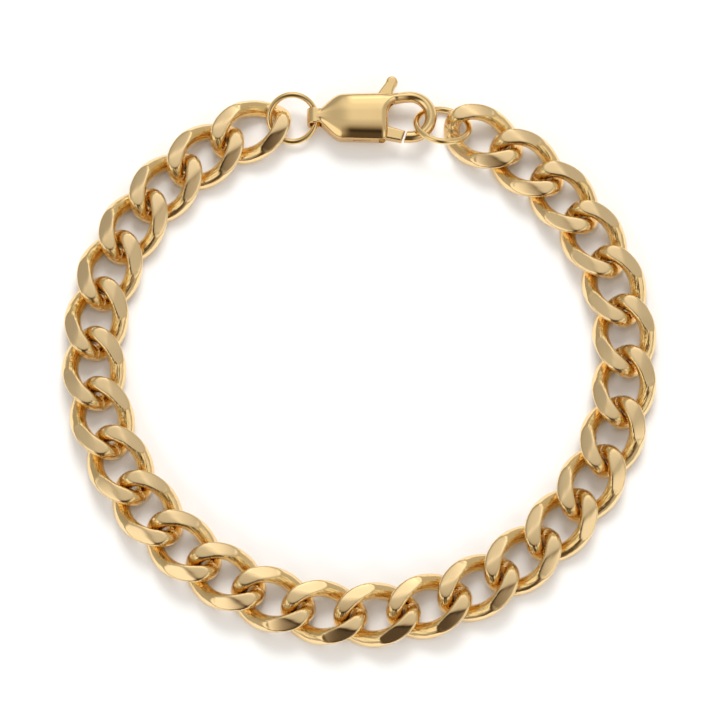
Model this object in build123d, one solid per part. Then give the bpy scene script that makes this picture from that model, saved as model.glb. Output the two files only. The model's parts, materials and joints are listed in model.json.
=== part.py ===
from build123d import *
import math
import os

# Cuban link bracelet, lying flat as one closed loop. Lengths are in millimetres, angles in degrees.
# While it is built, X runs from the first link's tip through the clasp to the last link's tip,
# Y points out of the loop past the clasp, and Z is up from the surface that the chain lies on.

# Chain links: twisted oval rings of round wire, ground flat above and below
LINK_COUNT = 28
LINK_WIRE = 2.10
LINK_LENGTH = 10.98
LINK_WIDTH = 8.10
LINK_TWIST = 54.0
STRAND_RISE = 28.0
ARC_BALANCE = 0.89
CHAIN_HEIGHT = 3.36
CREASE_OFFSET = 1.95
BEVEL_SLOPE = 16.0
LINK_PLAY = 0.24

# Bend at a link, in degrees, at even steps from the middle of the chain to its ends
BEND_STATIONS = [12.5, 10.8, 12.1, 9.2]

# Jump rings: plain rings of round wire between the chain and the clasp
RING_WIRE = 0.80
LEFT_RING_DIAMETER = 6.78
LEFT_RING_TILT = 16.7
LEFT_RING_HEIGHT = 1.90
LEFT_RING_SHIFT = -0.24
LEFT_RING_SLACK = 0.20
RIGHT_RING_DIAMETER = 7.60
RIGHT_RING_TILT = -37.0
RIGHT_RING_YAW = -9.0
RIGHT_RING_SHIFT = -0.70
RIGHT_RING_SLACK = 0.60
HOOK_SLACK = 0.74
FLOOR_GAP = 0.03

# Clasp body: eye, neck, plate and hook in one piece, in its own frame from the eye to the hook
CLASP_THICKNESS = 3.10
CLASP_MIDDLE = 2.25
CLASP_YAW = 1.8
CLASP_SHIFT = -0.06
CLASP_REACH = 14.70
EYE_LENGTH = 2.04
EYE_HOLE_WIDTH = 1.46
EYE_HOLE_HEIGHT = 1.90
EYE_HOLE_ROUNDING = 0.50
EYE_WALL = 0.40
NECK_WIDTH = 1.94
NECK_END = 1.35
NECK_HEIGHT = 2.30
NECK_RADIUS = 0.80
SHOULDER_END = 2.95
SHOULDER_RADIUS = 2.00
SHOULDER_EASE = 1.00
PLATE_BACK = 5.50
PLATE_WIDTH_TAIL = 5.70
PLATE_WIDTH_NOSE = 6.00
PLATE_ROUNDING = 0.55
NOSE_RADIUS = 0.90
HOOK_WIRE = 1.50
HOOK_ROOT_WIDTH = 1.30
HOOK_ROOT_HEIGHT = 2.30
HOOK_ROOT_BACK = 3.50
HOOK_CORNER_RADIUS = 1.60
HOOK_RADIUS = 2.66
HOOK_LIFT = 0.10
HOOK_TAPER = 1.15
HOOK_TIP_BACK = 3.25
TIP_LEAN = 0.35
TONGUE_GAP = 0.28

# Lever: trigger, hub and tongue in one piece, turning on a post inside the clasp body.
# A place named BACK, here and above, is how far behind the middle of the hook's wire it lies.
PIVOT_BACK = 6.60
PIVOT_ACROSS = -1.75
PIVOT_DIAMETER = 1.20
PIVOT_CLEARANCE = 0.05
LEVER_THICKNESS = 1.30
LEVER_SIDE_GAP = 0.10
LEVER_STOP_GAP = 0.15
HUB_RADIUS = 1.20
TRIGGER_BACK = 5.00
TRIGGER_OUT = 1.62
TRIGGER_RADIUS = 0.74
ARM_EASE = 0.35
ARM_HEEL = 0.90
TONGUE_ROOT = 0.45
TONGUE_DEPTH = 1.40
SLOT_BACK = 4.68
SLOT_WEB = 0.70

half_length = (LINK_LENGTH - LINK_WIRE) / 2
half_width = (LINK_WIDTH - LINK_WIRE) / 2
pitch = LINK_LENGTH - 2 * LINK_WIRE - LINK_PLAY
chain_middle = CHAIN_HEIGHT / 2
left_ring_radius = (LEFT_RING_DIAMETER - RING_WIRE) / 2
right_ring_radius = (RIGHT_RING_DIAMETER - RING_WIRE) / 2
plate_start = SHOULDER_END + SHOULDER_EASE
plate_end = CLASP_REACH - PLATE_BACK
hook_root_end = CLASP_REACH - HOOK_ROOT_BACK
hook_tip = CLASP_REACH - HOOK_TIP_BACK
slot_end = CLASP_REACH - SLOT_BACK
pivot_along = CLASP_REACH - PIVOT_BACK
trigger_along = CLASP_REACH - TRIGGER_BACK


def arc_tube(start, heading, end, radius):
    """Round wire along the one circular arc that leaves start along heading and reaches end."""
    chord = end - start
    inward = (chord - heading * chord.dot(heading)).normalized()
    bend_radius = chord.dot(chord) / (2 * chord.dot(inward))
    turn = 2 * math.degrees(math.atan2(chord.dot(inward), chord.dot(heading)))
    section = Plane(origin=start, x_dir=inward, z_dir=heading) * Circle(radius)
    return revolve(section, Axis(start + inward * bend_radius, heading.cross(inward)), turn)


def two_arcs(start, heading, end, arrival, balance):
    """Joint of the two tangent arcs from start to end, and the heading at that joint."""
    span = end - start
    mixed = heading + arrival * balance
    square = mixed.dot(mixed) - (1 + balance) ** 2
    linear = -2 * span.dot(mixed)
    reach = (-linear - math.sqrt(linear ** 2 - 4 * square * span.dot(span))) / (2 * square)
    near = start + heading * reach
    far = end - arrival * (balance * reach)
    return (near * balance + far) * (1 / (1 + balance)), (far - near).normalized()


def link_quarter():
    """A quarter of the twisted ring, from its tip to the middle of one strand."""
    twist = math.radians(LINK_TWIST)
    rise = math.radians(STRAND_RISE)
    tip = Vector(half_length, 0, 0)
    leave = Vector(0, math.cos(twist), -math.sin(twist))
    side = Vector(0, half_width, 0)
    arrive = Vector(-math.cos(rise), 0, math.sin(rise))
    joint, heading = two_arcs(tip, leave, side, arrive, ARC_BALANCE)
    end_arc = arc_tube(tip, leave, joint, LINK_WIRE / 2)
    strand_arc = arc_tube(joint, heading, side, LINK_WIRE / 2)
    return [end_arc, strand_arc]


def ground_envelope():
    """Long bar whose section the ground faces leave: flat in the middle, bevelled outside."""
    reach = LINK_WIDTH
    drop = (reach - CREASE_OFFSET) * math.tan(math.radians(BEVEL_SLOPE))
    top = CHAIN_HEIGHT / 2
    right = [(CREASE_OFFSET, top), (reach, top - drop), (reach, drop - top), (CREASE_OFFSET, -top)]
    left = [(-y, z) for y, z in reversed(right)]
    section = Plane.YZ * make_face(Polyline(*right, *left, close=True))
    return extrude(section, LINK_LENGTH, both=True)


def make_link():
    """One link about its own centre, lying along X."""
    quarter = link_quarter()
    wires = list(quarter)
    for axis in (Axis.X, Axis.Y, Axis.Z):
        wires += [piece.rotate(axis, 180) for piece in quarter]
    ring = wires[0].fuse(*wires[1:])
    return (ring & ground_envelope()).solid()


def bend_at(link):
    """Bend at one link, on the cubic curve through the bend stations."""
    middle = (LINK_COUNT - 1) / 2
    steps = len(BEND_STATIONS) - 1
    place = abs(link - middle) / middle * steps
    bend = 0
    for near, value in enumerate(BEND_STATIONS):
        weight = 1
        for other in range(len(BEND_STATIONS)):
            if other != near:
                weight *= (place - other) / (near - other)
        bend += value * weight
    return bend


def walk_chain(extra):
    """Centre and direction of every link, with extra degrees of bend at each one."""
    bends = [bend_at(link) + extra for link in range(LINK_COUNT)]
    total = sum(bends) - (bends[0] + bends[-1]) / 2
    direction = 360 - total / 2
    centre = Vector(0, 0, chain_middle)
    places = [(centre, direction)]
    for here, ahead in zip(bends, bends[1:]):
        step = direction + here / 2
        centre = centre + Vector(pitch, 0, 0).rotate(Axis.Z, step)
        direction = step + ahead / 2
        places.append((centre, direction))
    first_tip = places[0][0] - Vector(half_length, 0, 0).rotate(Axis.Z, places[0][1])
    last_tip = places[-1][0] + Vector(half_length, 0, 0).rotate(Axis.Z, places[-1][1])
    middle = (first_tip + last_tip) / 2
    middle = Vector(middle.X, middle.Y, 0)
    return [(place - middle, angle) for place, angle in places], last_tip.X - first_tip.X


def close_chain(span):
    """The chain bent so that its two tips stand span apart, where rings and clasp just reach."""
    low = -3.0
    high = 3.0
    for _ in range(60):
        extra = (low + high) / 2
        if walk_chain(extra)[1] > span:
            low = extra
        else:
            high = extra
    return walk_chain(extra)[0]


def make_ring(radius, centre, tilt, yaw):
    """A jump ring; tilt turns it about X and yaw about Z."""
    ring = Solid.make_torus(radius, RING_WIRE / 2)
    return Location(centre) * Rotation(0, 0, yaw) * Rotation(tilt, 0, 0) * ring


# Places along X of the rings and the clasp, from the first link's tip to the last link's tip
left_ring_place = left_ring_radius - (LINK_WIRE + RING_WIRE) / 2 - LEFT_RING_SLACK
eye_place = left_ring_place + left_ring_radius
hook_place = eye_place + CLASP_REACH
right_ring_place = hook_place + right_ring_radius - (HOOK_WIRE + RING_WIRE) / 2 - HOOK_SLACK
tip_span = right_ring_place + right_ring_radius - (LINK_WIRE + RING_WIRE) / 2 - RIGHT_RING_SLACK
right_ring_height = (right_ring_radius * math.sin(math.radians(abs(RIGHT_RING_TILT)))
                     + RING_WIRE / 2 + FLOOR_GAP)
eye_level = LEFT_RING_HEIGHT - CLASP_MIDDLE
clasp_place = (Location((eye_place - tip_span / 2, CLASP_SHIFT, CLASP_MIDDLE))
               * Rotation(0, 0, CLASP_YAW))


def rounded_outline(points, radii):
    """Closed plan outline with its corners rounded; a corner with no radius stays sharp."""
    outline = make_face(Polyline(*points, close=True))
    for point, radius in zip(points, radii):
        if radius:
            corner = outline.vertices().sort_by_distance(Vector(*point))[0]
            outline = fillet(corner, radius)
    return outline


def make_eye():
    """Rolled eye at the tail, with its hole across the clasp."""
    width = EYE_HOLE_WIDTH + 2 * EYE_WALL
    height = EYE_HOLE_HEIGHT + 2 * EYE_WALL
    outside = RectangleRounded(width, height, EYE_HOLE_ROUNDING + EYE_WALL)
    hole = RectangleRounded(EYE_HOLE_WIDTH, EYE_HOLE_HEIGHT, EYE_HOLE_ROUNDING)
    section = Plane(origin=(0, 0, eye_level), x_dir=(1, 0, 0), z_dir=(0, -1, 0)) * (outside - hole)
    return extrude(section, EYE_LENGTH / 2, both=True)


def plate_outline():
    """Plan of the neck, the plate and the root of the hook."""
    neck = NECK_WIDTH / 2
    tail = PLATE_WIDTH_TAIL / 2
    nose = PLATE_WIDTH_NOSE / 2
    start = EYE_HOLE_WIDTH / 2 + EYE_WALL / 2
    points = [(start, -neck), (NECK_END, -neck), (SHOULDER_END, -tail), (plate_end, -nose),
              (plate_end, nose - HOOK_ROOT_WIDTH), (hook_root_end, nose - HOOK_ROOT_WIDTH),
              (hook_root_end, nose), (SHOULDER_END, tail), (NECK_END, neck), (start, neck)]
    radii = [0, NECK_RADIUS, SHOULDER_RADIUS, NOSE_RADIUS, HOOK_CORNER_RADIUS, 0, 0,
             SHOULDER_RADIUS, NECK_RADIUS, 0]
    return rounded_outline(points, radii)


def side_envelope():
    """Side view of the clasp: low at the neck, full at the plate, lower again at the hook's root."""
    full = CLASP_THICKNESS / 2
    neck = NECK_HEIGHT / 2
    root = HOOK_ROOT_HEIGHT / 2
    top = [(0, eye_level + neck), (NECK_END, eye_level + neck), (plate_start, full),
           (plate_end, full), (hook_root_end, HOOK_LIFT + root)]
    bottom = [(hook_root_end, HOOK_LIFT - root), (plate_end, -full), (plate_start, -full),
              (NECK_END, eye_level - neck), (0, eye_level - neck)]
    section = Plane.XZ * make_face(Polyline(*top, *bottom, close=True))
    return extrude(section, PLATE_WIDTH_NOSE, both=True)


def make_plate():
    """Plate with rounded rims, lowered towards the neck and the hook."""
    block = extrude(plate_outline(), CLASP_THICKNESS / 2, both=True)
    rims = ShapeList()
    for face in block.faces().filter_by(Axis.Z):
        rims += face.edges().sort_by(Axis.X)[1:-1]
    return fillet(rims, PLATE_ROUNDING) & side_envelope()


def hook_section(place, heading, width, height):
    """Rounded section of the hook, square to its heading."""
    corner = 0.99 * min(width, height) / 2
    plane = Plane(origin=place, x_dir=heading.cross(Vector(0, 0, 1)), z_dir=heading)
    return plane * RectangleRounded(width, height, corner)


def make_hook():
    """Hook from its root on the plate round to its tip, tapering to round wire on the way."""
    centre = Vector(CLASP_REACH - HOOK_RADIUS, 0, HOOK_LIFT)
    lap = LEVER_SIDE_GAP / 2
    start = Vector(hook_root_end - lap, (PLATE_WIDTH_NOSE - HOOK_ROOT_WIDTH) / 2, HOOK_LIFT)
    crown = centre + Vector(0, HOOK_RADIUS, 0)
    shoulder = centre + Vector(0, HOOK_RADIUS, 0).rotate(Axis.Z, -45)
    side = centre + Vector(HOOK_RADIUS, 0, 0)
    foot = centre - Vector(0, HOOK_RADIUS, 0)
    along = Vector(1, 0, 0)
    down = Vector(0, -1, 0)
    root = loft([
        hook_section(start, along, HOOK_ROOT_WIDTH, HOOK_ROOT_HEIGHT),
        hook_section(crown, along, (HOOK_ROOT_WIDTH + HOOK_WIRE) / 2, HOOK_WIRE * HOOK_TAPER),
        hook_section(shoulder, (along + down).normalized(), HOOK_WIRE, HOOK_WIRE),
        hook_section(side, down, HOOK_WIRE, HOOK_WIRE),
    ])
    bow = arc_tube(side, down, foot, HOOK_WIRE / 2)
    end = Plane(origin=foot, z_dir=-along) * Circle(HOOK_WIRE / 2)
    return root + bow + extrude(end, foot.X - hook_tip + HOOK_WIRE)


def tip_line(across, offset):
    """Place along the clasp of the slanted face where the hook ends, moved by offset."""
    return hook_tip + offset + TIP_LEAN * (across + HOOK_RADIUS)


def beyond_hook_tip():
    """Block that takes off the hook beyond its slanted end."""
    top = HOOK_WIRE - HOOK_RADIUS
    foot = -HOOK_WIRE - HOOK_RADIUS
    corners = [(tip_line(top, 0), top), (tip_line(foot, 0), foot), (plate_end, foot), (plate_end, top)]
    return extrude(make_face(Polyline(*corners, close=True)), CLASP_THICKNESS, both=True)


def lever_slot():
    """Space between the two cheeks of the clasp, where the lever lies and swings."""
    out = PLATE_WIDTH_NOSE
    web = PLATE_WIDTH_NOSE / 2 - SLOT_WEB
    hub = pivot_along - HUB_RADIUS - 3 * LEVER_SIDE_GAP
    corners = [(plate_start, out), (plate_start, 0), (hub, -web), (hub, -out),
               (slot_end, -out), (slot_end, out)]
    height = LEVER_THICKNESS / 2 + LEVER_SIDE_GAP
    return extrude(make_face(Polyline(*corners, close=True)), height, both=True)


def make_clasp_body():
    """Eye, plate, hook and pivot post as one solid, in the clasp's own frame."""
    post = Cylinder(PIVOT_DIAMETER / 2, CLASP_THICKNESS - 2 * PLATE_ROUNDING)
    plate = make_plate() - lever_slot()
    hook = make_hook() - beyond_hook_tip()
    return (plate + make_eye() + hook + Location((pivot_along, PIVOT_ACROSS, 0)) * post).solid()


def make_lever():
    """Lever in the clasp's own frame: a flat piece with trigger, hub, tongue and bore."""
    nose = PLATE_WIDTH_NOSE / 2
    hub = Vector(pivot_along, PIVOT_ACROSS)
    trigger = Vector(trigger_along, nose + TRIGGER_OUT)
    back = plate_end - LEVER_SIDE_GAP
    stop = slot_end - LEVER_STOP_GAP
    arm = [(hub.X - HUB_RADIUS, hub.Y), (hub.X - HUB_RADIUS / 3, nose - ARM_EASE),
           (hub.X, nose + ARM_EASE), (trigger.X - TRIGGER_RADIUS, trigger.Y),
           (trigger.X + TRIGGER_RADIUS, trigger.Y), (stop, nose + ARM_EASE),
           (stop - LEVER_SIDE_GAP, nose - ARM_EASE), (back, ARM_HEEL), (back, hub.Y)]
    upper = TONGUE_DEPTH / 2 - HOOK_RADIUS
    lower = -TONGUE_DEPTH / 2 - HOOK_RADIUS
    hub_foot = hub + Vector(HUB_RADIUS / 3, -HUB_RADIUS * math.sqrt(8) / 3)
    tongue = [(hub.X, hub.Y + HUB_RADIUS / 2), (back, hub.Y + TONGUE_ROOT),
              (tip_line(upper, -TONGUE_GAP), upper), (tip_line(lower, -TONGUE_GAP), lower),
              (hub_foot.X, hub_foot.Y)]
    plan = make_face(Polyline(*arm, close=True)) + make_face(Polyline(*tongue, close=True))
    plan += Location(hub) * Circle(HUB_RADIUS) + Location(trigger) * Circle(TRIGGER_RADIUS)
    plan -= Location(hub) * Circle(PIVOT_DIAMETER / 2 + PIVOT_CLEARANCE)
    return extrude(plan, LEVER_THICKNESS / 2, both=True).solid()


def name_pieces():
    """Every piece of the bracelet at its place, by its name."""
    pieces = {}
    link = make_link()
    for number, (centre, direction) in enumerate(close_chain(tip_span), start=1):
        place = Location(centre) * Rotation(0, 0, direction)
        pieces[f"link_{number:02d}"] = place * link
    left = Vector(left_ring_place - tip_span / 2, LEFT_RING_SHIFT, LEFT_RING_HEIGHT)
    right = Vector(right_ring_place - tip_span / 2, RIGHT_RING_SHIFT, right_ring_height)
    pieces["jump_ring_left"] = make_ring(left_ring_radius, left, LEFT_RING_TILT, 0)
    pieces["jump_ring_right"] = make_ring(right_ring_radius, right, RIGHT_RING_TILT, RIGHT_RING_YAW)
    pieces["clasp_body"] = clasp_place * make_clasp_body()
    pieces["clasp_lever"] = clasp_place * make_lever()
    return pieces


def main():
    """Build every piece, put the origin under the middle of the whole, and write the files."""
    pieces = name_pieces()
    whole = Compound(list(pieces.values())).bounding_box()
    base = Vector((whole.min.X + whole.max.X) / 2, (whole.min.Y + whole.max.Y) / 2, whole.min.Z)
    to_origin = Location(base * -1)
    os.makedirs("parts", exist_ok=True)
    for name, piece in pieces.items():
        export_step(piece.moved(to_origin), f"parts/{name}.step")
    pivot = to_origin * clasp_place * Location((pivot_along, PIVOT_ACROSS, 0))
    print("whole size", whole.size)
    print("moved to the origin by", base * -1)
    print("lever pivot", pivot.position)


if __name__ == "__main__":
    main()
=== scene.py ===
import json
import math

import bpy
import numpy as np
from mathutils import Matrix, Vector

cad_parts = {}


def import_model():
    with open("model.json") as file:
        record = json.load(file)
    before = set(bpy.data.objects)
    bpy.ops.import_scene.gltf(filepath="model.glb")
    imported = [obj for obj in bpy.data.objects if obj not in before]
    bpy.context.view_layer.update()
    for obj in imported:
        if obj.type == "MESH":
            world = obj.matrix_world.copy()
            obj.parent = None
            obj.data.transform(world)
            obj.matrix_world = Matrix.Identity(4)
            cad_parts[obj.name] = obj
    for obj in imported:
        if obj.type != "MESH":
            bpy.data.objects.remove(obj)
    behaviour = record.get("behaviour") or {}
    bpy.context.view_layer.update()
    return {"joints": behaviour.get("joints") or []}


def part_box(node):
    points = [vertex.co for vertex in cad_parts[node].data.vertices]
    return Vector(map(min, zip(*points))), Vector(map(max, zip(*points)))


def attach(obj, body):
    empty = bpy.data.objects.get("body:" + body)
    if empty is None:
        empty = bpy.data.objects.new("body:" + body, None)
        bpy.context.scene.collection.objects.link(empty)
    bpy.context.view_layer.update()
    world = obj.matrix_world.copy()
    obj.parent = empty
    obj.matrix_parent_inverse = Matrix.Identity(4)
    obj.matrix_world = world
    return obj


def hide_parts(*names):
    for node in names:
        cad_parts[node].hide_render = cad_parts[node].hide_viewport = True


# Polished cuban link bracelet on a pale floor. Sizes are in millimetres and angles in degrees;
# only the lights, the floor and the depths of relief are in metres.
MM = 0.001
ROOT = "bracelet"
LEVER = "lever"

# Chain link, as in the solids
LINK_COUNT = 28
LINK_WIRE = 2.10
LINK_LENGTH = 10.98
LINK_WIDTH = 8.10
LINK_TWIST = 54.0
STRAND_RISE = 28.0
ARC_BALANCE = 0.89
CHAIN_HEIGHT = 3.36
CREASE_OFFSET = 1.95
BEVEL_SLOPE = 16.0
END_BEND = 9.94

# Polishing of a link: eased edges, a slight crown on each ground face, buffed outer sides that also
# take less painted crevice shade, a solder seam near one tip, and how far each link lies askew
EDGE_EASE = 0.045
FACET_CROWN = 0.014
CROWN_REACH = 3.2
CROWN_FACING = 0.3
BUFFED_UNSHADED_START = 0.30
BUFFED_UNSHADED_RISE = 0.90
BUFFED_UNSHADED_MOST = 0.80
WIRE_INSET = 0.004
SEAM_PLACE = 0.42
SEAM_HALF_WIDTH = 0.06
SEAM_DEPTH = 0.06
SEAM_STEPS = (-2, -1, -0.5, 0, 0.5, 1, 2)
LINK_SWAY = 0.5
SWAY_MOST = 1.0
SWAY_SEED = 28

# Mesh of a link: its steps, the least lean of a ray that meets a ground face, and the reach of rays
LINK_STEP = 0.135
LINK_AROUND = 56
FACING_LEAST = 0.02
REACH_NONE = 9.0
REACH_MOST = 3.0

# Jump rings, as in the solids but for a trace off the wire
RING_WIRE = 0.78
LEFT_RING_DIAMETER = 6.78
LEFT_RING_TILT = 16.7
LEFT_RING_YAW = 0.0
RIGHT_RING_DIAMETER = 7.60
RIGHT_RING_TILT = -37.0
RIGHT_RING_YAW = -9.0
RING_STEPS = 180
RING_AROUND = 28
RING_GROUND = 0.6

# Clasp body, in its own frame: u from the eye to the hook, v outwards, z up
CLASP_YAW = 1.8
CLASP_THICKNESS = 3.10
CLASP_REACH = 14.70
EYE_LEVEL = -0.35
EYE_LENGTH = 2.04
EYE_HOLE_WIDTH = 1.46
EYE_HOLE_HEIGHT = 1.90
EYE_HOLE_ROUNDING = 0.50
EYE_WALL = 0.40
EYE_EDGE = 0.12
EYE_TUCK = 0.12
EYE_BLEND = 0.04
EYE_HOLE_EASE = 0.02
NECK_START = 0.12
NECK_WIDTH = 1.94
NECK_HEIGHT = 2.72
SHOULDER_START = 0.50
SHOULDER_END = 3.40
SHOULDER_POWER = 1.15
PLATE_START = 3.95
PLATE_END = 9.20
PLATE_WIDTH_TAIL = 5.70
PLATE_WIDTH_NOSE = 6.00
PLATE_BELLY = 0.24
PILLOW_START = 0.20
PILLOW_END = 4.80
PILLOW_DROP = 0.76
PILLOW_SHARE = 0.82
NOSE_RIM = 0.85
CORNER_POWER = 3.5
SEAM_ALONG = 5.85
SEAM_LENGTH = 2.2
SEAM_GAP = 0.12
SEAM_EASE = 0.03
HOOK_WIRE = 1.50
HOOK_ROOT_WIDTH = 1.30
HOOK_ROOT_RISE = 0.28
HOOK_ROOT_HEIGHT = 2.30
HOOK_ROOT_END = 11.20
HOOK_ROOT_THINNING = 0.2
HOOK_CORNER_RADIUS = 1.60
HOOK_RADIUS = 2.66
HOOK_LIFT = 0.10
HOOK_TAPER = 1.15
HOOK_TIP = 11.45
TIP_LEAN = 0.35
TONGUE_GAP = 0.28
PART_BLEND = 0.10

# Where along the clasp the plate takes on the hook's height and its root's width, and where the
# hook's wire, sunk in the plate at first, has come out in full
HEIGHT_BLEND = (PLATE_END - 1.0, HOOK_ROOT_END)
WIDTH_BLEND = (PLATE_END - 0.8, HOOK_ROOT_END - 1.0)
WIRE_BLEND = (PLATE_END, HOOK_ROOT_END - 0.6)

# Lever, in the clasp's frame
PIVOT_ALONG = 8.10
PIVOT_ACROSS = -1.75
PIVOT_DIAMETER = 1.20
PIVOT_CLEARANCE = 0.05
LEVER_THICKNESS = 1.30
LEVER_SIDE_GAP = 0.10
LEVER_STOP_GAP = 0.15
LEVER_EDGE = 0.24
TRIGGER_DOME = 0.08
HUB_RADIUS = 1.20
TRIGGER_ALONG = 9.70
TRIGGER_OUT = 1.62
TRIGGER_RADIUS = 0.74
ARM_EASE = 0.35
ARM_HEEL = 0.90
TONGUE_ROOT = 0.45
TONGUE_DEPTH = 1.40
SLOT_END = 10.02

# Mesh of the clasp: grid step, passes that move its points onto the surface, step and floors of the
# slopes, and for both solids the corners of the grid
SKIN_STEP = 0.085
SKIN_PASSES = 3
SLOPE_STEP = 0.004
SLOPE_LEAST = 1e-6
STEEPNESS_LEAST = 0.1
BODY_GRID = ((-1.5, -3.8, -2.0), (15.9, 3.8, 1.9))
LEVER_GRID = ((6.5, -3.8, -0.9), (11.8, 5.7, 0.9))

# Golds: colour of the ground faces, colour of the bare wire or wall (darker and more orange: painted
# shade of crevices and shadowed walls), roughness of both, and lumps
LINK_GOLD = ((0.94, 0.70, 0.385), (0.86, 0.57, 0.19), 0.07, 0.06, 0.8)
RING_GOLD = ((0.93, 0.68, 0.33), (0.91, 0.64, 0.28), 0.10, 0.14, 0.12)
CLASP_GOLD = ((0.94, 0.68, 0.33), (0.64, 0.37, 0.12), 0.08, 0.16, 0.08)

# Textures of the golds: scale of each noise and how much of it shows in tone, roughness and relief,
# how slowly the grain changes along the wire, and from which lean the clasp's walls, painted darker
# as shade, turn to faces
TONE_SCALE = 260.0
TONE_SPREAD = 0.4
TONE_GROUND = 0.8
HAZE_SCALE = 900.0
HAZE_DETAIL = 3.0
HAZE_ROUGHNESS = 0.08
NOISE_DETAIL = 2.0
LUMP_SCALE = 1700.0
LUMP_SHARE = 0.45
DRAWN_SCALE = 4.5
RELIEF_DEPTH = 0.00015
LINE_SCALE = 34.0
LINE_STRENGTH = 0.12
LINE_DEPTH = 0.000004
GRAIN_DRIFT = 0.10
WALL_LEAN = 0.35
WALL_RISE = 2.4

# Floor: size and drop in metres, colour and finish
FLOOR_SIZE = 4
FLOOR_DROP = 0.00002
FLOOR_COLOUR = (0.90, 0.893, 0.885)
FLOOR_ROUGHNESS = 0.9
FLOOR_SHINE = 0.1

# Camera: where it looks, from how far, and how large a millimetre shows in the photograph
CAMERA_TARGET = (0.074, -0.443, 1.68)
CAMERA_DISTANCE = 450.0
CAMERA_ELEVATION = 76.7
CAMERA_ROLL = 1.95
CAMERA_NEAR = 10.0
PIXELS_PER_MM = 7.94
PICTURE_WIDTH = 720
SENSOR_WIDTH = 36.0

# Studio light, with every edge given as a lean: the room from left to right, two opposite quarters
# of its sides a little darker than the others, panels (direction, cosines of edge and core, power),
# and a dark strip in front with its sides, its start and its depth
ROOM_LEFT = 0.48
ROOM_RIGHT = 0.60
ROOM_SPREAD = 1.2
ROOM_COLOUR = (1.0, 0.985, 0.95)
QUARTER_MIDDLE = 0.23
QUARTER_EDGE = 0.02
QUARTER_LEVELS = (-0.08, -0.02)
QUARTER_SIDES = (0.12, 0.34)
PANELS = [((0.0, 0.60, 0.80), 0.88, 0.985, 0.34), ((0.07, 0.70, 0.71), 0.955, 0.99, 0.24),
          ((0.0, 0.85, 0.53), 0.968, 0.995, 0.50), ((0.68, -0.36, 0.64), 0.90, 0.96, 0.46),
          ((-0.62, -0.38, 0.68), 0.90, 0.96, 0.62), ((0.0, 0.10, 0.99), 0.70, 0.95, 0.10)]
STRIP_LEVELS = (0.025, 0.095)
STRIP_DEPTH = (0.16, 0.42)
STRIP_COLOUR = (1.0, 0.76, 0.54)
STRIP_EDGE = (0.09, 0.42)
STRIP_START = (-0.18, 0.19)

# Lights: name, place and size in metres, power in watts
LIGHTS = [("key", (0.01, 0.41, 0.42), 0.34, 2.35), ("fill", (-0.08, -0.50, 0.22), 0.40, 1.6),
          ("top", (0.0, 0.02, 0.60), 0.30, 0.35)]

half_length = (LINK_LENGTH - LINK_WIRE) / 2
half_width = (LINK_WIDTH - LINK_WIRE) / 2


def unit(vector):
    """The vector at length one."""
    return vector / np.linalg.norm(vector)


def joint_of_arcs(start, heading, end, arrival, balance):
    """Joint of the two tangent arcs from start to end, and the heading at that joint."""
    span = end - start
    mixed = heading + arrival * balance
    square = mixed @ mixed - (1 + balance) ** 2
    linear = -2 * span @ mixed
    reach = (-linear - math.sqrt(linear ** 2 - 4 * square * (span @ span))) / (2 * square)
    near = start + heading * reach
    far = end - arrival * (balance * reach)
    return (near * balance + far) / (1 + balance), unit(far - near)


def arc(start, heading, end, extra=()):
    """Points and headings along the circular arc from start to end, with extra places in mm."""
    chord = end - start
    inward = unit(chord - heading * (chord @ heading))
    radius = (chord @ chord) / (2 * (chord @ inward))
    turn = 2 * math.atan2(chord @ inward, chord @ heading)
    count = math.ceil(turn * radius / LINK_STEP)
    places = np.union1d(np.linspace(0, turn, count + 1), [place / radius for place in extra])
    angle = places[:, None]
    points = start + radius * (inward * (1 - np.cos(angle)) + heading * np.sin(angle))
    return points, heading * np.cos(angle) + inward * np.sin(angle)


def link_quarter(extra=()):
    """Points and headings along a quarter of a link, from its tip to the middle of a strand."""
    twist = math.radians(LINK_TWIST)
    rise = math.radians(STRAND_RISE)
    tip = np.array([half_length, 0, 0])
    leave = np.array([0, math.cos(twist), -math.sin(twist)])
    side = np.array([0, half_width, 0])
    arrive = np.array([-math.cos(rise), 0, math.sin(rise)])
    joint, heading = joint_of_arcs(tip, leave, side, arrive, ARC_BALANCE)
    end_points, end_headings = arc(tip, leave, joint, extra)
    strand_points, strand_headings = arc(joint, heading, side)
    return (np.vstack([end_points[:-1], strand_points]),
            np.vstack([end_headings[:-1], strand_headings]))


def link_line():
    """Points and headings round the whole closed centre line of a link."""
    seam = [SEAM_PLACE + SEAM_HALF_WIDTH * step for step in SEAM_STEPS]
    points, headings = link_quarter(seam)
    plain_points, plain_headings = link_quarter()
    about_x = np.array([1, -1, -1])
    about_y = np.array([-1, 1, -1])
    about_z = np.array([-1, -1, 1])
    line = [points[:-1], (plain_points * about_y)[::-1][:-1],
            (plain_points * about_z)[:-1], (plain_points * about_x)[::-1][:-1]]
    ways = [headings[:-1], (-plain_headings * about_y)[::-1][:-1],
            (plain_headings * about_z)[:-1], (-plain_headings * about_x)[::-1][:-1]]
    return np.vstack(line), np.vstack(ways)


def ground_faces(high_spot):
    """Each ground face as its outward normal, its offset and the middle of its crown."""
    slope = math.radians(BEVEL_SLOPE)
    top = CHAIN_HEIGHT / 2
    bevel_offset = math.cos(slope) * top + math.sin(slope) * CREASE_OFFSET
    faces = []
    for up in (1, -1):
        for side in (1, -1):
            middle = np.array([-high_spot[0] * side * up, high_spot[1] * side])
            faces.append((np.array([0, 0, up]), top, middle, side))
            normal = np.array([0, math.sin(slope) * side, math.cos(slope) * up])
            faces.append((normal, bevel_offset, middle, side))
    return faces


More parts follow.
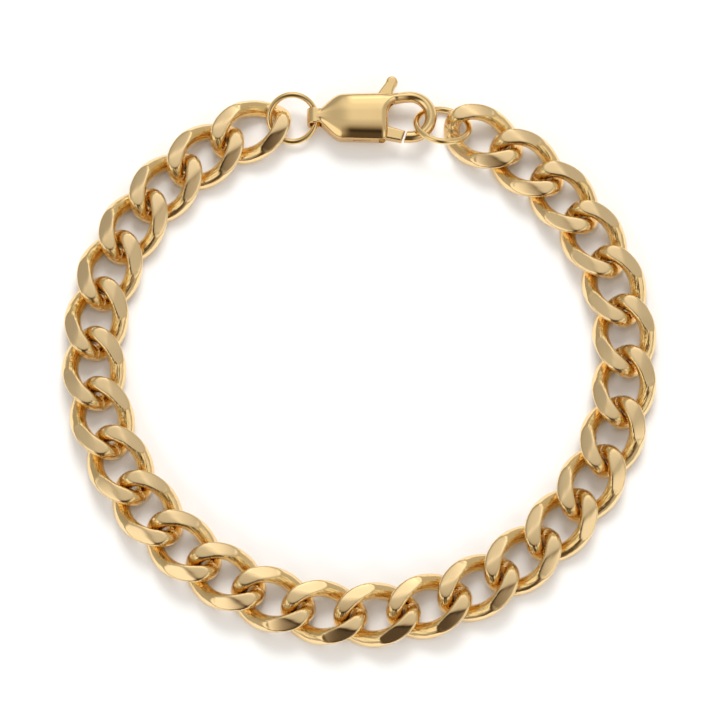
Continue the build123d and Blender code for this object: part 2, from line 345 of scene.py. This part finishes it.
def tube_grid(line, ways, around):
    """For each point of a line, the directions square to it in which its tube's skin lies."""
    upright = np.array([0, 0, 1]) - ways * ways[:, 2:3]
    upright /= np.linalg.norm(upright, axis=1)[:, None]
    across = np.cross(ways, upright)
    angle = np.linspace(0, 2 * math.pi, around, endpoint=False)[None, :, None]
    return upright[:, None] * np.cos(angle) + across[:, None] * np.sin(angle)


def closed_quads(rows, columns):
    """Quads of a grid that closes on itself both ways."""
    row, column = np.meshgrid(np.arange(rows), np.arange(columns), indexing="ij")
    next_row = (row + 1) % rows
    next_column = (column + 1) % columns
    corners = [row * columns + column, row * columns + next_column,
               next_row * columns + next_column, next_row * columns + column]
    return np.stack([corner.ravel() for corner in corners], 1)


def link_skin():
    """Points and quads of a link about its own centre, how ground each point is (which also sets how
    little painted crevice shade it takes), and its grain.
    """
    line, ways = link_line()
    rays = tube_grid(line, ways, LINK_AROUND)
    starts = line[:, None]
    high_spot = np.abs(line[np.argmax(line[:, 2])])
    wire = np.full(rays.shape[:2], LINK_WIRE / 2)
    from_tip = np.linalg.norm(line - line[0], axis=1)
    first_quarter = np.arange(len(line)) < len(line) / 4
    seam = np.exp(-((from_tip - SEAM_PLACE) / SEAM_HALF_WIDTH) ** 2) * first_quarter
    wire -= SEAM_DEPTH * seam[:, None]
    round_weight = np.exp(-wire / EDGE_EASE)
    ground_weight = np.zeros_like(wire)
    for normal, offset, middle, side in ground_faces(high_spot):
        facing = rays @ normal
        reach = (offset - starts @ normal) / np.maximum(facing, FACING_LEAST)
        reach = np.where(facing > FACING_LEAST, reach, REACH_NONE)
        hit = starts + rays * reach[..., None]
        aside = np.minimum(np.sum((hit[..., :2] - middle) ** 2, axis=-1), CROWN_REACH ** 2)
        reach -= FACET_CROWN * aside / np.maximum(facing, CROWN_FACING)
        weight = np.exp(-np.clip(reach, 0, REACH_MOST) / EDGE_EASE)
        ground_weight += np.where(np.sign(starts[..., 1]) == side, weight, 0)
    radius = -EDGE_EASE * np.log(round_weight + ground_weight) - WIRE_INSET
    points = (starts + rays * radius[..., None]).reshape(-1, 3)
    # Outer sides count as buffed: smoother, and lighter in colour, because the painted crevice shade
    # goes on the inner sides
    outward = rays[..., 1] * line[:, 1:2] / half_width
    buffed_and_unshaded = np.clip(BUFFED_UNSHADED_START + BUFFED_UNSHADED_RISE * outward, 0, BUFFED_UNSHADED_MOST)
    share = np.maximum(ground_weight / (ground_weight + round_weight), buffed_and_unshaded).ravel()
    return points, closed_quads(*rays.shape[:2]), share, tube_grain(points, *rays.shape[:2])


def tube_grain(points, rows, columns):
    """Grain of drawn wire: a place that changes fast round the wire and slowly along it."""
    lap = np.tile(np.linspace(0, 2 * math.pi, columns, endpoint=False), rows)
    round_way = np.stack([np.cos(lap), np.sin(lap), np.zeros(len(lap))], 1)
    return round_way * LINK_WIRE / 2 + points * GRAIN_DRIFT


def ring_skin(diameter):
    """Points and quads of a plain ring of wire about its own centre."""
    radius = (diameter - RING_WIRE) / 2
    along = np.linspace(0, 2 * math.pi, RING_STEPS, endpoint=False)
    round_way = np.linspace(0, 2 * math.pi, RING_AROUND, endpoint=False)
    turn, lap = np.meshgrid(along, round_way, indexing="ij")
    reach = radius + RING_WIRE / 2 * np.cos(lap)
    points = np.stack([reach * np.cos(turn), reach * np.sin(turn), RING_WIRE / 2 * np.sin(lap)], -1)
    points = points.reshape(-1, 3)
    quads = closed_quads(RING_STEPS, RING_AROUND)[:, ::-1]
    return points, quads, tube_grain(points, RING_STEPS, RING_AROUND)


def turned(points, degrees, axis):
    """The points turned about one axis through the origin."""
    turn = np.array(Matrix.Rotation(math.radians(degrees), 3, axis))
    return points @ turn.T


def outline_distance(u, v, outline):
    """Signed distance in plan to a closed outline, negative inside it."""
    nearest = np.full(np.broadcast(u, v).shape, np.inf)
    inside = np.zeros(nearest.shape, bool)
    for (au, av), (bu, bv) in zip(outline, outline[1:] + outline[:1]):
        along_u = bu - au
        along_v = bv - av
        share = ((u - au) * along_u + (v - av) * along_v) / (along_u ** 2 + along_v ** 2)
        share = np.clip(share, 0, 1)
        gap = (u - au - along_u * share) ** 2 + (v - av - along_v * share) ** 2
        nearest = np.minimum(nearest, gap)
        if av != bv:
            crossing = au + along_u * (v - av) / along_v
            inside = inside ^ (((av > v) != (bv > v)) & (u < crossing))
    return np.where(inside, -1, 1) * np.sqrt(nearest)


def rounded_outline(points, radii, steps=8):
    """A closed outline with its corners rounded; a corner with no radius stays sharp."""
    result = []
    for index, (point, radius) in enumerate(zip(points, radii)):
        corner = np.array(point, float)
        if not radius:
            result.append(tuple(corner))
            continue
        back = unit(np.array(points[index - 1]) - corner)
        ahead = unit(np.array(points[(index + 1) % len(points)]) - corner)
        half = math.acos(np.clip(back @ ahead, -1, 1)) / 2
        middle = corner + unit(back + ahead) * radius / math.sin(half)
        first = corner + back * radius / math.tan(half) - middle
        last = corner + ahead * radius / math.tan(half) - middle
        for share in np.linspace(0, 1, steps):
            spoke = unit(first * (1 - share) + last * share)
            result.append(tuple(middle + spoke * radius))
    return result


def join(one, other, reach):
    """Two solids in one, blended over reach where they meet."""
    share = np.clip(0.5 + 0.5 * (other - one) / reach, 0, 1)
    return other + (one - other) * share - reach * share * (1 - share)


def cut(solid, tool, reach):
    """A solid without the tool, its new edge eased over reach."""
    return -join(-solid, tool, reach)


def slab(plan, z, half, edge):
    """A plan shape with the given half height and rounded edges."""
    aside = plan + edge
    above = np.abs(z) - half + edge
    outside = np.hypot(np.maximum(aside, 0), np.maximum(above, 0))
    return outside + np.minimum(np.maximum(aside, above), 0) - edge


def ramp(place, start, end):
    """Smooth step from 0 at start to 1 at end."""
    share = np.clip((place - start) / (end - start), 0, 1)
    return share * share * (3 - 2 * share)


def tip_line(v, offset):
    """Place along the clasp of the slanted face where the hook ends, moved by offset."""
    return HOOK_TIP + offset + TIP_LEAN * (v + HOOK_RADIUS)


def nose_outline():
    """Plan of all that lies behind the plate's nose and the end of the hook's root."""
    far = 3 * PLATE_WIDTH_NOSE
    inner = PLATE_WIDTH_NOSE / 2 - HOOK_ROOT_WIDTH
    points = [(-far, -far), (PLATE_END, -far), (PLATE_END, inner),
              (HOOK_ROOT_END, inner + HOOK_ROOT_RISE), (HOOK_ROOT_END, far), (-far, far)]
    return rounded_outline(points, [0, 0, HOOK_CORNER_RADIUS, 0, 0, 0])


def slot_outline():
    """Plan of the space between the clasp's two cheeks."""
    out = PLATE_WIDTH_NOSE
    hub = PIVOT_ALONG - HUB_RADIUS - LEVER_SIDE_GAP
    below = PIVOT_ACROSS - HUB_RADIUS - LEVER_SIDE_GAP
    return [(PLATE_START, out), (PLATE_START, 0), (hub, PIVOT_ACROSS - HUB_RADIUS / 3),
            (PIVOT_ALONG - HUB_RADIUS / 3, below), (PIVOT_ALONG, below), (PIVOT_ALONG, -out),
            (SLOT_END, -out), (SLOT_END, out)]


NOSE_PLAN = nose_outline()
SLOT_PLAN = slot_outline()


def plate_half_width(u):
    """Half the width of the neck and the plate, which swell in a soft shoulder."""
    neck = NECK_WIDTH / 2
    along = np.clip((u - SHOULDER_END) / (PLATE_END - SHOULDER_END), 0, 1)
    body = (PLATE_WIDTH_TAIL + (PLATE_WIDTH_NOSE - PLATE_WIDTH_TAIL) * along) / 2
    share = np.clip((u - SHOULDER_START) / (SHOULDER_END - SHOULDER_START), 0, 1)
    return neck + (body - neck) * np.sin(share * math.pi / 2) ** SHOULDER_POWER


def plate_belly(u):
    """How far the rounded plate stands out on its inner side, to look as full as it is."""
    return PLATE_BELLY * ramp(u, SHOULDER_START, SHOULDER_END)


def plate_distance(u, v, z):
    """Signed distance to the neck and the pillow-shaped plate, up to the root of the hook."""
    width = plate_half_width(u) + plate_belly(u) / 2
    to_plate = ramp(u, PILLOW_START, PILLOW_END)
    to_hook = ramp(u, *HEIGHT_BLEND)
    to_root = ramp(u, *WIDTH_BLEND)
    half = NECK_HEIGHT / 2 + (CLASP_THICKNESS - NECK_HEIGHT) / 2 * to_plate
    root = HOOK_WIRE * HOOK_TAPER / 2
    half = half + (root - CLASP_THICKNESS / 2) * to_hook
    middle = EYE_LEVEL * (1 - to_plate) + HOOK_LIFT * to_hook
    drop = PILLOW_DROP + (root - PILLOW_DROP) * to_hook
    rim = PILLOW_SHARE * width
    rim = rim + (HOOK_ROOT_WIDTH / 2 - rim) * to_root
    across = np.maximum(np.abs(v + plate_belly(u) / 2) - width + rim, 0) / rim
    ahead = np.maximum(outline_distance(u, v, NOSE_PLAN) + NOSE_RIM, 0) / NOSE_RIM
    aside = (across ** CORNER_POWER + ahead ** CORNER_POWER) ** (1 / CORNER_POWER)
    above = np.maximum(np.abs(z - middle) - half + drop, 0) / drop
    return np.maximum((np.hypot(aside, above) - 1) * PILLOW_DROP, NECK_START - u)


def eye_distances(u, v, z):
    """Signed distances to the rolled eye and to the hole through it."""
    height = z - EYE_LEVEL
    aside = np.abs(u) - EYE_HOLE_WIDTH / 2 + EYE_HOLE_ROUNDING
    above = np.abs(height) - EYE_HOLE_HEIGHT / 2 + EYE_HOLE_ROUNDING
    hole = np.hypot(np.maximum(aside, 0), np.maximum(above, 0))
    hole = hole + np.minimum(np.maximum(aside, above), 0) - EYE_HOLE_ROUNDING
    wall = np.abs(hole - EYE_WALL / 2) - EYE_WALL / 2
    return slab(wall, v, EYE_LENGTH / 2 - EYE_TUCK * ramp(u, 0, NECK_START), EYE_EDGE), hole


def hook_distance(u, v, z):
    """Signed distance to the hook, from its root round to its slanted tip."""
    centre = CLASP_REACH - HOOK_RADIUS
    turn = np.arctan2(u - centre, v)
    bow = np.hypot(u - centre, v) - HOOK_RADIUS
    root_share = ramp(u, PLATE_END, centre)
    root_line = (PLATE_WIDTH_NOSE - HOOK_ROOT_WIDTH) / 2
    root = v - root_line - (HOOK_RADIUS - root_line) * root_share
    offset = np.where(u < centre, np.where(v > 0, root, -v - HOOK_RADIUS), bow)
    thin = np.where(u < centre, np.where(v > 0, root_share / 2, 1),
                    0.5 + ramp(turn, 0, math.pi / 4) / 2)
    crown = HOOK_WIRE * HOOK_TAPER
    wide = (HOOK_ROOT_WIDTH + (HOOK_WIRE - HOOK_ROOT_WIDTH) * thin) / 2
    tall = np.where(thin < 0.5, HOOK_ROOT_HEIGHT + (crown - HOOK_ROOT_HEIGHT) * 2 * thin,
                    crown + (HOOK_WIRE - crown) * (2 * thin - 1)) / 2
    sunk = HOOK_ROOT_THINNING * (1 - ramp(u, *WIRE_BLEND))
    grown = np.where(v > 0, 1 - sunk, 1)
    wire = (np.hypot(offset / wide, (z - HOOK_LIFT) / tall) - grown) * wide
    wire = np.maximum(wire, PLATE_END - u)
    beyond = np.maximum(u - tip_line(v, 0), v + HOOK_RADIUS - HOOK_WIRE)
    return cut(wire, beyond, PART_BLEND)


def body_distance(u, v, z):
    """Signed distance to the whole clasp body."""
    slot = np.maximum(outline_distance(u, v, SLOT_PLAN),
                      np.abs(z) - LEVER_THICKNESS / 2 - LEVER_SIDE_GAP)
    seam = np.maximum(np.abs(u - SEAM_ALONG) - SEAM_LENGTH / 2, np.abs(z) - SEAM_GAP / 2)
    seam = np.maximum(seam, v + plate_half_width(u) + plate_belly(u) - SEAM_GAP)
    plate = cut(cut(plate_distance(u, v, z), slot, PART_BLEND), seam, SEAM_EASE)
    post = np.maximum(np.hypot(u - PIVOT_ALONG, v - PIVOT_ACROSS) - PIVOT_DIAMETER / 2,
                      np.abs(z) - CLASP_THICKNESS / 2 + PILLOW_DROP)
    eye, hole = eye_distances(u, v, z)
    solid = join(plate, hook_distance(u, v, z), PART_BLEND)
    solid = cut(join(solid, eye, EYE_BLEND), hole, EYE_HOLE_EASE)
    return np.minimum(solid, post)


def lever_plans():
    """Plans of the lever's arm and tongue."""
    nose = PLATE_WIDTH_NOSE / 2
    hub = (PIVOT_ALONG, PIVOT_ACROSS)
    trigger = (TRIGGER_ALONG, nose + TRIGGER_OUT)
    back = PLATE_END - LEVER_SIDE_GAP
    stop = SLOT_END - LEVER_STOP_GAP
    arm = [(hub[0] - HUB_RADIUS, hub[1]), (hub[0] - HUB_RADIUS / 3, nose - ARM_EASE),
           (hub[0], nose + ARM_EASE), (trigger[0] - TRIGGER_RADIUS, trigger[1]),
           (trigger[0] + TRIGGER_RADIUS, trigger[1]), (stop, nose + ARM_EASE),
           (stop - LEVER_SIDE_GAP, nose - ARM_EASE), (back, ARM_HEEL), (back, hub[1])]
    upper = TONGUE_DEPTH / 2 - HOOK_RADIUS
    lower = -TONGUE_DEPTH / 2 - HOOK_RADIUS
    tongue = [(hub[0], hub[1] + HUB_RADIUS / 2), (back, hub[1] + TONGUE_ROOT),
              (tip_line(upper, -TONGUE_GAP), upper), (tip_line(lower, -TONGUE_GAP), lower),
              (hub[0] + HUB_RADIUS / 3, hub[1] - HUB_RADIUS * math.sqrt(8) / 3)]
    return arm, tongue


ARM_PLAN, TONGUE_PLAN = lever_plans()


def lever_distance(u, v, z):
    """Signed distance to the lever: trigger, arm, hub and tongue, with its bore."""
    hub = np.hypot(u - PIVOT_ALONG, v - PIVOT_ACROSS)
    out = v - PLATE_WIDTH_NOSE / 2
    trigger = np.hypot(u - TRIGGER_ALONG, out - TRIGGER_OUT) - TRIGGER_RADIUS
    plan = join(outline_distance(u, v, ARM_PLAN), trigger, PART_BLEND)
    plan = np.minimum(plan, outline_distance(u, v, TONGUE_PLAN))
    plan = np.minimum(plan, hub - HUB_RADIUS)
    plan = np.maximum(plan, PIVOT_DIAMETER / 2 + PIVOT_CLEARANCE - hub)
    return slab(plan, z, LEVER_THICKNESS / 2, LEVER_EDGE + TRIGGER_DOME * ramp(out, 0, TRIGGER_OUT))


def slopes(distance, points):
    """Direction in which the signed distance grows fastest at each point, and how fast."""
    steps = []
    for axis in range(3):
        shift = np.zeros(3)
        shift[axis] = SLOPE_STEP
        ahead = distance(*(points + shift).T)
        behind = distance(*(points - shift).T)
        steps.append((ahead - behind) / (2 * SLOPE_STEP))
    slope = np.stack(steps, 1)
    length = np.linalg.norm(slope, axis=1)
    return slope / np.maximum(length, SLOPE_LEAST)[:, None], np.maximum(length, STEEPNESS_LEAST)


def shifted(grid, offset):
    """The part of a grid that starts at offset and is one shorter along each axis."""
    return grid[tuple(slice(o, grid.shape[axis] - 1 + o) for axis, o in enumerate(offset))]


def skin(distance, low, high):
    """Points, quads and normals of the surface where a signed distance is zero."""
    axes = [np.arange(a, b + SKIN_STEP, SKIN_STEP) for a, b in zip(low, high)]
    values = distance(axes[0][:, None, None], axes[1][None, :, None], axes[2][None, None, :])
    inside = values < 0
    corners = [(i, j, k) for i in (0, 1) for j in (0, 1) for k in (0, 1)]
    count = sum(shifted(inside, corner).astype(int) for corner in corners)
    crossed = (count > 0) & (count < len(corners))
    index = np.full(crossed.shape, -1)
    index[crossed] = np.arange(crossed.sum())
    total = np.zeros(crossed.shape + (3,))
    number = np.zeros(crossed.shape)
    quads = []
    for axis in range(3):
        one, two = [other for other in range(3) if other != axis]
        for i in (0, 1):
            for j in (0, 1):
                near = [0, 0, 0]
                near[one] = i
                near[two] = j
                far = list(near)
                far[axis] = 1
                here = shifted(values, near)
                there = shifted(values, far)
                meets = (here < 0) != (there < 0)
                share = np.where(meets, here / np.where(meets, here - there, 1), 0)
                number += meets
                for place in range(3):
                    amount = share if place == axis else near[place]
                    total[..., place] += np.where(meets, amount, 0)
        here = shifted(inside, (0, 0, 0))
        there = shifted(inside, tuple(int(place == axis) for place in range(3)))
        cells = np.argwhere(here != there)
        cells = cells[(cells[:, one] > 0) & (cells[:, two] > 0)]
        leaving = here[tuple(cells.T)]
        around = []
        for i, j in ((0, 0), (1, 0), (1, 1), (0, 1)):
            cell = cells.copy()
            cell[:, one] -= i
            cell[:, two] -= j
            around.append(index[tuple(cell.T)])
        faces = np.stack(around, 1)
        flip = leaving if axis == 1 else ~leaving
        faces[flip] = faces[flip][:, ::-1]
        quads.append(faces)
    cell = np.argwhere(crossed)
    origin = np.array([a[0] for a in axes])
    points = origin + SKIN_STEP * (cell + (total / np.maximum(number, 1)[..., None])[crossed])
    for _ in range(SKIN_PASSES):
        normals, steepness = slopes(distance, points)
        step = np.clip(distance(*points.T) / steepness, -SKIN_STEP / 2, SKIN_STEP / 2)
        points = points - normals * step[:, None]
    normals, _ = slopes(distance, points)
    return points, np.vstack(quads), normals


def new_piece(name, points, quads, material, node, body, ground_and_unshaded, grain, normals=None):
    """A mesh piece at its place in the frame, which stands for one CAD node."""
    mesh = bpy.data.meshes.new(name)
    mesh.from_pydata((points * MM).tolist(), [], quads.tolist())
    mesh.shade_smooth()
    if normals is not None:
        mesh.normals_split_custom_set_from_vertices(normals.tolist())
    layer = mesh.attributes.new("ground_and_unshaded", "FLOAT", "POINT")
    layer.data.foreach_set("value", ground_and_unshaded.astype(np.float32))
    layer = mesh.attributes.new("grain", "FLOAT_VECTOR", "POINT")
    layer.data.foreach_set("vector", grain.astype(np.float32).ravel())
    mesh.materials.append(material)
    piece = bpy.data.objects.new(name, mesh)
    bpy.context.scene.collection.objects.link(piece)
    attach(piece, body)
    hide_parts(node)
    return piece


def add(nodes, kind, **values):
    """A shader node with some of its properties or inputs set."""
    node = nodes.new(kind)
    for key, value in values.items():
        if key in node.inputs:
            node.inputs[key].default_value = value
        else:
            setattr(node, key, value)
    return node


def polished_gold(name, face, wire, ground_roughness, wire_roughness, lumps):
    """Polished gold-tone metal: tone variation, fine polishing lines, and a lumpier unground wire
    whose darker colour is painted shade.
    """
    material = bpy.data.materials.new(name)
    material.use_nodes = True
    nodes = material.node_tree.nodes
    links = material.node_tree.links
    shader = nodes["Principled BSDF"]
    shader.inputs["Metallic"].default_value = 1.0
    place = add(nodes, "ShaderNodeTexCoord").outputs["Object"]
    ground_and_unshaded = add(nodes, "ShaderNodeAttribute", attribute_name="ground_and_unshaded").outputs["Fac"]
    grain = add(nodes, "ShaderNodeAttribute", attribute_name="grain").outputs["Vector"]

    def noise(where, scale, detail=NOISE_DETAIL):
        """The height of a noise at each place."""
        texture = add(nodes, "ShaderNodeTexNoise", Scale=scale, Detail=detail)
        links.new(where, texture.inputs["Vector"])
        return texture.outputs["Fac"]

    def by_ground(bare, finished):
        """A value that goes from bare to finished with how ground the metal is."""
        step = add(nodes, "ShaderNodeMapRange")
        step.inputs["To Min"].default_value = bare
        step.inputs["To Max"].default_value = finished
        links.new(ground_and_unshaded, step.inputs["Value"])
        return step.outputs["Result"]

    def scaled(value, factor, added=None):
        """A value times a factor, with another one added if there is one."""
        operation = "MULTIPLY" if added is None else "MULTIPLY_ADD"
        result = add(nodes, "ShaderNodeMath", operation=operation)
        result.inputs[1].default_value = factor
        links.new(value, result.inputs[0])
        if added is not None:
            links.new(added, result.inputs[2])
        return result.outputs["Value"]

    tone = scaled(noise(place, TONE_SCALE), TONE_SPREAD)
    # The wire colour is painted shade for crevices and walls; the ground faces keep the plain gold
    colour = add(nodes, "ShaderNodeMix", data_type="RGBA")
    colour.inputs["A"].default_value = (*wire, 1)
    colour.inputs["B"].default_value = (*face, 1)
    links.new(scaled(ground_and_unshaded, TONE_GROUND, tone), colour.inputs["Factor"])
    links.new(colour.outputs["Result"], shader.inputs["Base Color"])

    haze = noise(place, HAZE_SCALE, HAZE_DETAIL)
    rough = scaled(haze, HAZE_ROUGHNESS, by_ground(wire_roughness, ground_roughness))
    links.new(rough, shader.inputs["Roughness"])

    relief = scaled(noise(place, LUMP_SCALE), LUMP_SHARE, noise(grain, DRAWN_SCALE))
    lumpy = add(nodes, "ShaderNodeBump", Distance=RELIEF_DEPTH)
    links.new(by_ground(lumps, 0.0), lumpy.inputs["Strength"])
    links.new(relief, lumpy.inputs["Height"])
    fine = add(nodes, "ShaderNodeBump", Strength=LINE_STRENGTH, Distance=LINE_DEPTH)
    links.new(noise(grain, LINE_SCALE), fine.inputs["Height"])
    links.new(lumpy.outputs["Normal"], fine.inputs["Normal"])
    links.new(fine.outputs["Normal"], shader.inputs["Normal"])
    return material


def centre_of(node):
    """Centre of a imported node's box."""
    low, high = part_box(node)
    return (np.array(low) + np.array(high)) / 2 / MM


def link_places():
    """Centre and direction of every link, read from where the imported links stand."""
    centres = [centre_of(f"link_{number:02d}") for number in range(1, LINK_COUNT + 1)]
    steps = []
    for here, ahead in zip(centres, centres[1:]):
        steps.append(math.degrees(math.atan2(ahead[1] - here[1], ahead[0] - here[0])))
    steps = np.degrees(np.unwrap(np.radians(steps)))
    middle = (steps[1:] + steps[:-1]) / 2
    directions = [steps[0] - END_BEND / 2, *middle, steps[-1] + END_BEND / 2]
    return list(zip(centres, directions))


def make_links(material):
    """All the links, each turned to its own place and lying a trace askew."""
    points, quads, ground_and_unshaded, grain = link_skin()
    chance = np.random.default_rng(SWAY_SEED)
    for number, (centre, direction) in enumerate(link_places(), start=1):
        node = f"link_{number:02d}"
        sway = np.clip(chance.normal(0, LINK_SWAY), -SWAY_MOST, SWAY_MOST)
        placed = turned(turned(points, sway, "X"), direction, "Z") + centre
        placed[:, 2] += max(0, -placed[:, 2].min())
        new_piece(f"polished_{node}", placed, quads, material, node, ROOT,
                  ground_and_unshaded, grain + number)


def make_rings(material):
    """Both jump rings."""
    rings = [("jump_ring_left", LEFT_RING_DIAMETER, LEFT_RING_TILT, LEFT_RING_YAW),
             ("jump_ring_right", RIGHT_RING_DIAMETER, RIGHT_RING_TILT, RIGHT_RING_YAW)]
    for node, diameter, tilt, yaw in rings:
        points, quads, grain = ring_skin(diameter)
        placed = turned(turned(points, tilt, "X"), yaw, "Z") + centre_of(node)
        new_piece(f"polished_{node}", placed, quads, material, node, ROOT,
                  np.full(len(points), RING_GROUND), grain)


def make_clasp(frame, material):
    """The clasp's body and lever, placed from the hinge's own pivot."""
    pivot = np.array(frame["joints"][0]["pos_m"]) / MM
    origin = pivot - turned(np.array([PIVOT_ALONG, PIVOT_ACROSS, 0]), CLASP_YAW, "Z")
    solids = [("clasp_body", ROOT, body_distance, BODY_GRID),
              ("clasp_lever", LEVER, lever_distance, LEVER_GRID)]
    for node, body, distance, grid in solids:
        points, quads, normals = skin(distance, *grid)
        placed = turned(points, CLASP_YAW, "Z") + origin
        # Steep walls get the dark wire colour: painted shade for sides that face the shadowed floor
        unshaded_face_share = np.clip((np.abs(normals[:, 2]) - WALL_LEAN) * WALL_RISE, 0, 1)
        grain = points * np.array([GRAIN_DRIFT, 1, 1])
        new_piece(f"polished_{node}", placed, quads, material, node, body,
                  unshaded_face_share, grain, turned(normals, CLASP_YAW, "Z"))


def make_floor():
    """Plain pale floor, a trace below the bracelet."""
    bpy.ops.mesh.primitive_plane_add(size=FLOOR_SIZE, location=(0, 0, -FLOOR_DROP))
    floor = bpy.context.object
    floor.name = "floor"
    material = bpy.data.materials.new("floor_paint")
    material.use_nodes = True
    shader = material.node_tree.nodes["Principled BSDF"]
    shader.inputs["Base Color"].default_value = (*FLOOR_COLOUR, 1)
    shader.inputs["Roughness"].default_value = FLOOR_ROUGHNESS
    shader.inputs["Specular IOR Level"].default_value = FLOOR_SHINE
    floor.data.materials.append(material)


def make_world():
    """Soft studio: pale all round, light panels behind and low on both sides, a dark strip ahead."""
    world = bpy.data.worlds.new("studio")
    bpy.context.scene.world = world
    world.use_nodes = True
    nodes = world.node_tree.nodes
    links = world.node_tree.links
    back = nodes["Background"]
    place = add(nodes, "ShaderNodeTexCoord").outputs["Generated"]

    def along(direction):
        """How far each way into the room leans towards a direction."""
        lean = add(nodes, "ShaderNodeVectorMath", operation="DOT_PRODUCT")
        lean.inputs[1].default_value = tuple(direction)
        links.new(place, lean.inputs[0])
        return lean.outputs["Value"]

    def fade(value, start, end, low, high):
        """A soft step from low to high as the value goes from start to end."""
        step = add(nodes, "ShaderNodeMapRange", interpolation_type="SMOOTHSTEP")
        step.inputs["From Min"].default_value = start
        step.inputs["From Max"].default_value = end
        step.inputs["To Min"].default_value = low
        step.inputs["To Max"].default_value = high
        links.new(value, step.inputs["Value"])
        return step.outputs["Result"]

    def combine(operation, one, other):
        """Two values put together by one sum."""
        result = add(nodes, "ShaderNodeMath", operation=operation)
        links.new(one, result.inputs[0])
        links.new(other, result.inputs[1])
        return result.outputs["Value"]

    to_right = along((1, 0, 0))
    to_front = along((0, -1, 0))
    strength = fade(to_right, -ROOM_SPREAD, ROOM_SPREAD, ROOM_LEFT, ROOM_RIGHT)
    behind = add(nodes, "ShaderNodeMath", operation="SUBTRACT")
    behind.inputs[1].default_value = QUARTER_MIDDLE
    links.new(along((0, 1, 0)), behind.inputs[0])
    quarter = combine("MULTIPLY", to_right, behind.outputs["Value"])
    shade = fade(quarter, -QUARTER_EDGE, QUARTER_EDGE, *QUARTER_LEVELS)
    aside = add(nodes, "ShaderNodeMath", operation="ABSOLUTE")
    links.new(to_right, aside.inputs[0])
    sides = fade(aside.outputs["Value"], *QUARTER_SIDES, 0, 1)
    strength = combine("ADD", strength, combine("MULTIPLY", shade, sides))
    for direction, wide, narrow, power in PANELS:
        panel = fade(along(unit(np.array(direction))), wide, narrow, 0, power)
        strength = combine("ADD", strength, panel)

    column = fade(aside.outputs["Value"], *STRIP_EDGE, 1, 0)
    dark = combine("MULTIPLY", column, fade(to_front, *STRIP_START, 0, 1))
    level = add(nodes, "ShaderNodeMix", data_type="FLOAT")
    links.new(dark, level.inputs["Factor"])
    links.new(strength, level.inputs["A"])
    links.new(fade(to_front, *STRIP_DEPTH, *STRIP_LEVELS), level.inputs["B"])
    links.new(level.outputs["Result"], back.inputs["Strength"])
    tint = add(nodes, "ShaderNodeMix", data_type="RGBA")
    tint.inputs["A"].default_value = (*ROOM_COLOUR, 1)
    tint.inputs["B"].default_value = (*STRIP_COLOUR, 1)
    links.new(dark, tint.inputs["Factor"])
    links.new(tint.outputs["Result"], back.inputs["Color"])


def make_lights():
    """Soft lights from behind and ahead, which give the shadows and no highlights of their own."""
    for name, place, size, power in LIGHTS:
        data = bpy.data.lights.new(name, "AREA")
        data.shape = "DISK"
        data.size = size
        data.energy = power
        light = bpy.data.objects.new(name, data)
        bpy.context.scene.collection.objects.link(light)
        light.visible_glossy = False
        light.location = place
        light.rotation_mode = "QUATERNION"
        light.rotation_quaternion = (-light.location).to_track_quat("-Z", "Y")


def make_camera():
    """Camera at the photograph's angle."""
    data = bpy.data.cameras.new("camera")
    data.sensor_width = SENSOR_WIDTH
    data.lens = PIXELS_PER_MM * CAMERA_DISTANCE / PICTURE_WIDTH * SENSOR_WIDTH
    data.clip_start = CAMERA_NEAR * MM
    camera = bpy.data.objects.new("camera", data)
    bpy.context.scene.collection.objects.link(camera)
    rise = math.radians(CAMERA_ELEVATION)
    roll = math.radians(CAMERA_ROLL)
    back = np.array([0, -math.cos(rise), math.sin(rise)])
    level = np.array([1.0, 0, 0])
    right = level * math.cos(roll) + np.cross(back, level) * math.sin(roll)
    place = (np.array(CAMERA_TARGET) + back * CAMERA_DISTANCE) * MM
    matrix = np.eye(4)
    matrix[:3] = np.stack([right, np.cross(back, right), back, place], 1)
    camera.matrix_world = Matrix(matrix.tolist())
    bpy.context.scene.camera = camera


def main():
    """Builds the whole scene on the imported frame."""
    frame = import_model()
    bpy.context.scene.view_settings.view_transform = "Standard"
    make_camera()
    make_links(polished_gold("gold_links", *LINK_GOLD))
    make_rings(polished_gold("gold_rings", *RING_GOLD))
    make_clasp(frame, polished_gold("gold_clasp", *CLASP_GOLD))
    make_floor()
    make_world()
    make_lights()


main()
